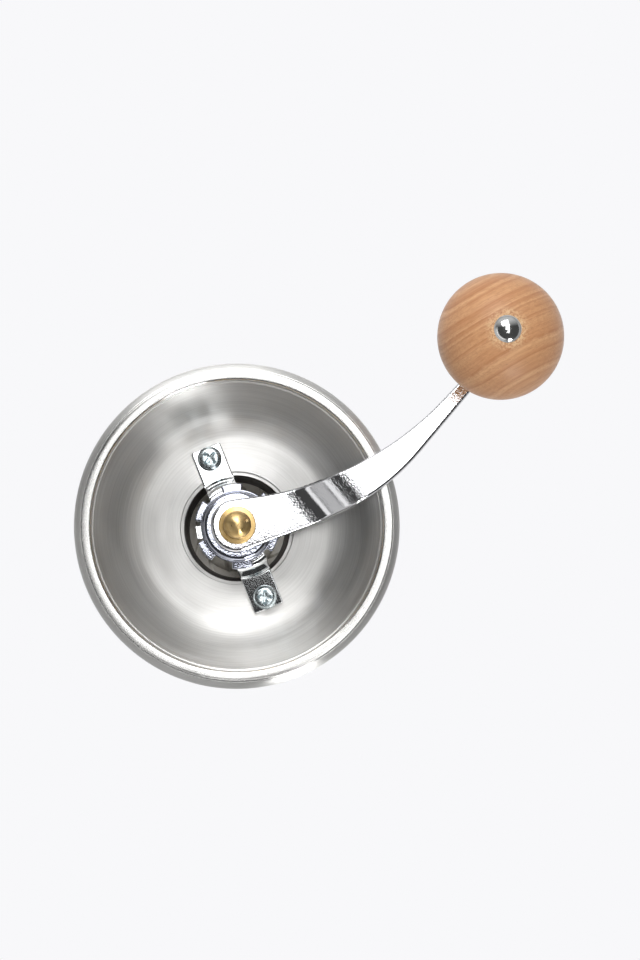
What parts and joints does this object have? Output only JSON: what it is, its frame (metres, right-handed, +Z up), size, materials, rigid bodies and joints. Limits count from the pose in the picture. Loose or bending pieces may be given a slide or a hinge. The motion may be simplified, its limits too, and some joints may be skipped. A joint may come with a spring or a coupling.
{
  "type": "hand crank coffee grinder",
  "caption": "Hand crank coffee grinder: open spun-steel hopper with a bridge, lobed grind adjuster, conical burrs and a curved crank with a wooden ball knob, on a glass jar.",
  "frame": {"origin": "centre of the jar's base, on the surface that it stands on", "axes": "+Z up along the drive shaft, +X to the right and +Y to the top of the picture's overhead view"},
  "size_m": [0.1538, 0.1297, 0.1859],
  "materials": {
    "jar_glass": "clear pressed glass",
    "seal_silicone": "translucent white silicone",
    "spun_steel": "stainless, spun with fine circular marks",
    "chrome_plate": "bright nickel-chrome plate over a slightly uneven casting",
    "zinc_plate": "bright zinc plate, faintly blue and mottled",
    "ground_steel": "ground steel",
    "polished_brass": "polished brass",
    "beech_wood": "light beech, sanded and waxed",
    "black_nylon": "moulded, fine matte texture",
    "burr_ceramic": "unglazed white ceramic"
  },
  "bodies": {
    "jar": {"glass_jar": "jar_glass"},
    "seal": {"jar_gasket": "seal_silicone"},
    "head": {"hopper_bowl": "spun_steel", "jar_collar": "spun_steel", "burr_housing": "black_nylon", "ring_burr": "burr_ceramic", "ring_retainer": "zinc_plate", "retainer_screws": "zinc_plate", "bridge_bracket": "zinc_plate", "bridge_screws": "zinc_plate", "screw_inserts": "polished_brass", "detent_spring": "zinc_plate", "burr_spring": "ground_steel"},
    "adjuster": {"adjuster_wheel": "chrome_plate"},
    "sleeve": {"bearing_sleeve": "ground_steel"},
    "drive": {"drive_shaft": "ground_steel", "inner_burr": "burr_ceramic", "spring_washer": "zinc_plate", "burr_washer": "zinc_plate", "burr_nut": "zinc_plate", "crank_washer": "zinc_plate", "crank_arm": "chrome_plate", "dome_nut": "polished_brass", "knob_post": "chrome_plate", "knob_washer": "zinc_plate", "post_nut": "zinc_plate"},
    "knob": {"knob_ball": "beech_wood"}
  },
  "joints": [
    {"name": "head_lift", "type": "slide", "parent": "jar", "child": "seal", "axis": [0, 0, 1], "range_m": [0, 0.00261]},
    {"name": "head_twist", "type": "hinge", "parent": "seal", "child": "head", "pos_m": [0, 0, 0.108], "axis": [0, 0, 1], "range_deg": [0, 67]},
    {"name": "grind_adjust", "type": "hinge", "parent": "head", "child": "adjuster", "pos_m": [0, 0, 0.1251], "axis": [0, 0, 1], "range_deg": [-181, 421], "deforming": ["detent_spring"]},
    {"name": "grind_gap", "type": "slide", "parent": "head", "child": "sleeve", "axis": [0, 0, 1], "range_m": [-0.00117, 0.0005], "deforming": ["burr_spring"]},
    {"name": "crank_turn", "type": "hinge", "parent": "sleeve", "child": "drive", "pos_m": [0, 0, 0.1321], "axis": [0, 0, 1], "continuous": true},
    {"name": "knob_spin", "type": "hinge", "parent": "drive", "child": "knob", "pos_m": [0.08171, 0.05764, 0.16], "axis": [0, 0, 1], "continuous": true}
  ],
  "couplings": [
    {"joint": "head_lift", "follows": "head_twist", "m_per_rad": 0.0022282},
    {"joint": "grind_adjust", "follows": "grind_gap", "rad_per_m": -6283.2}
  ]
}
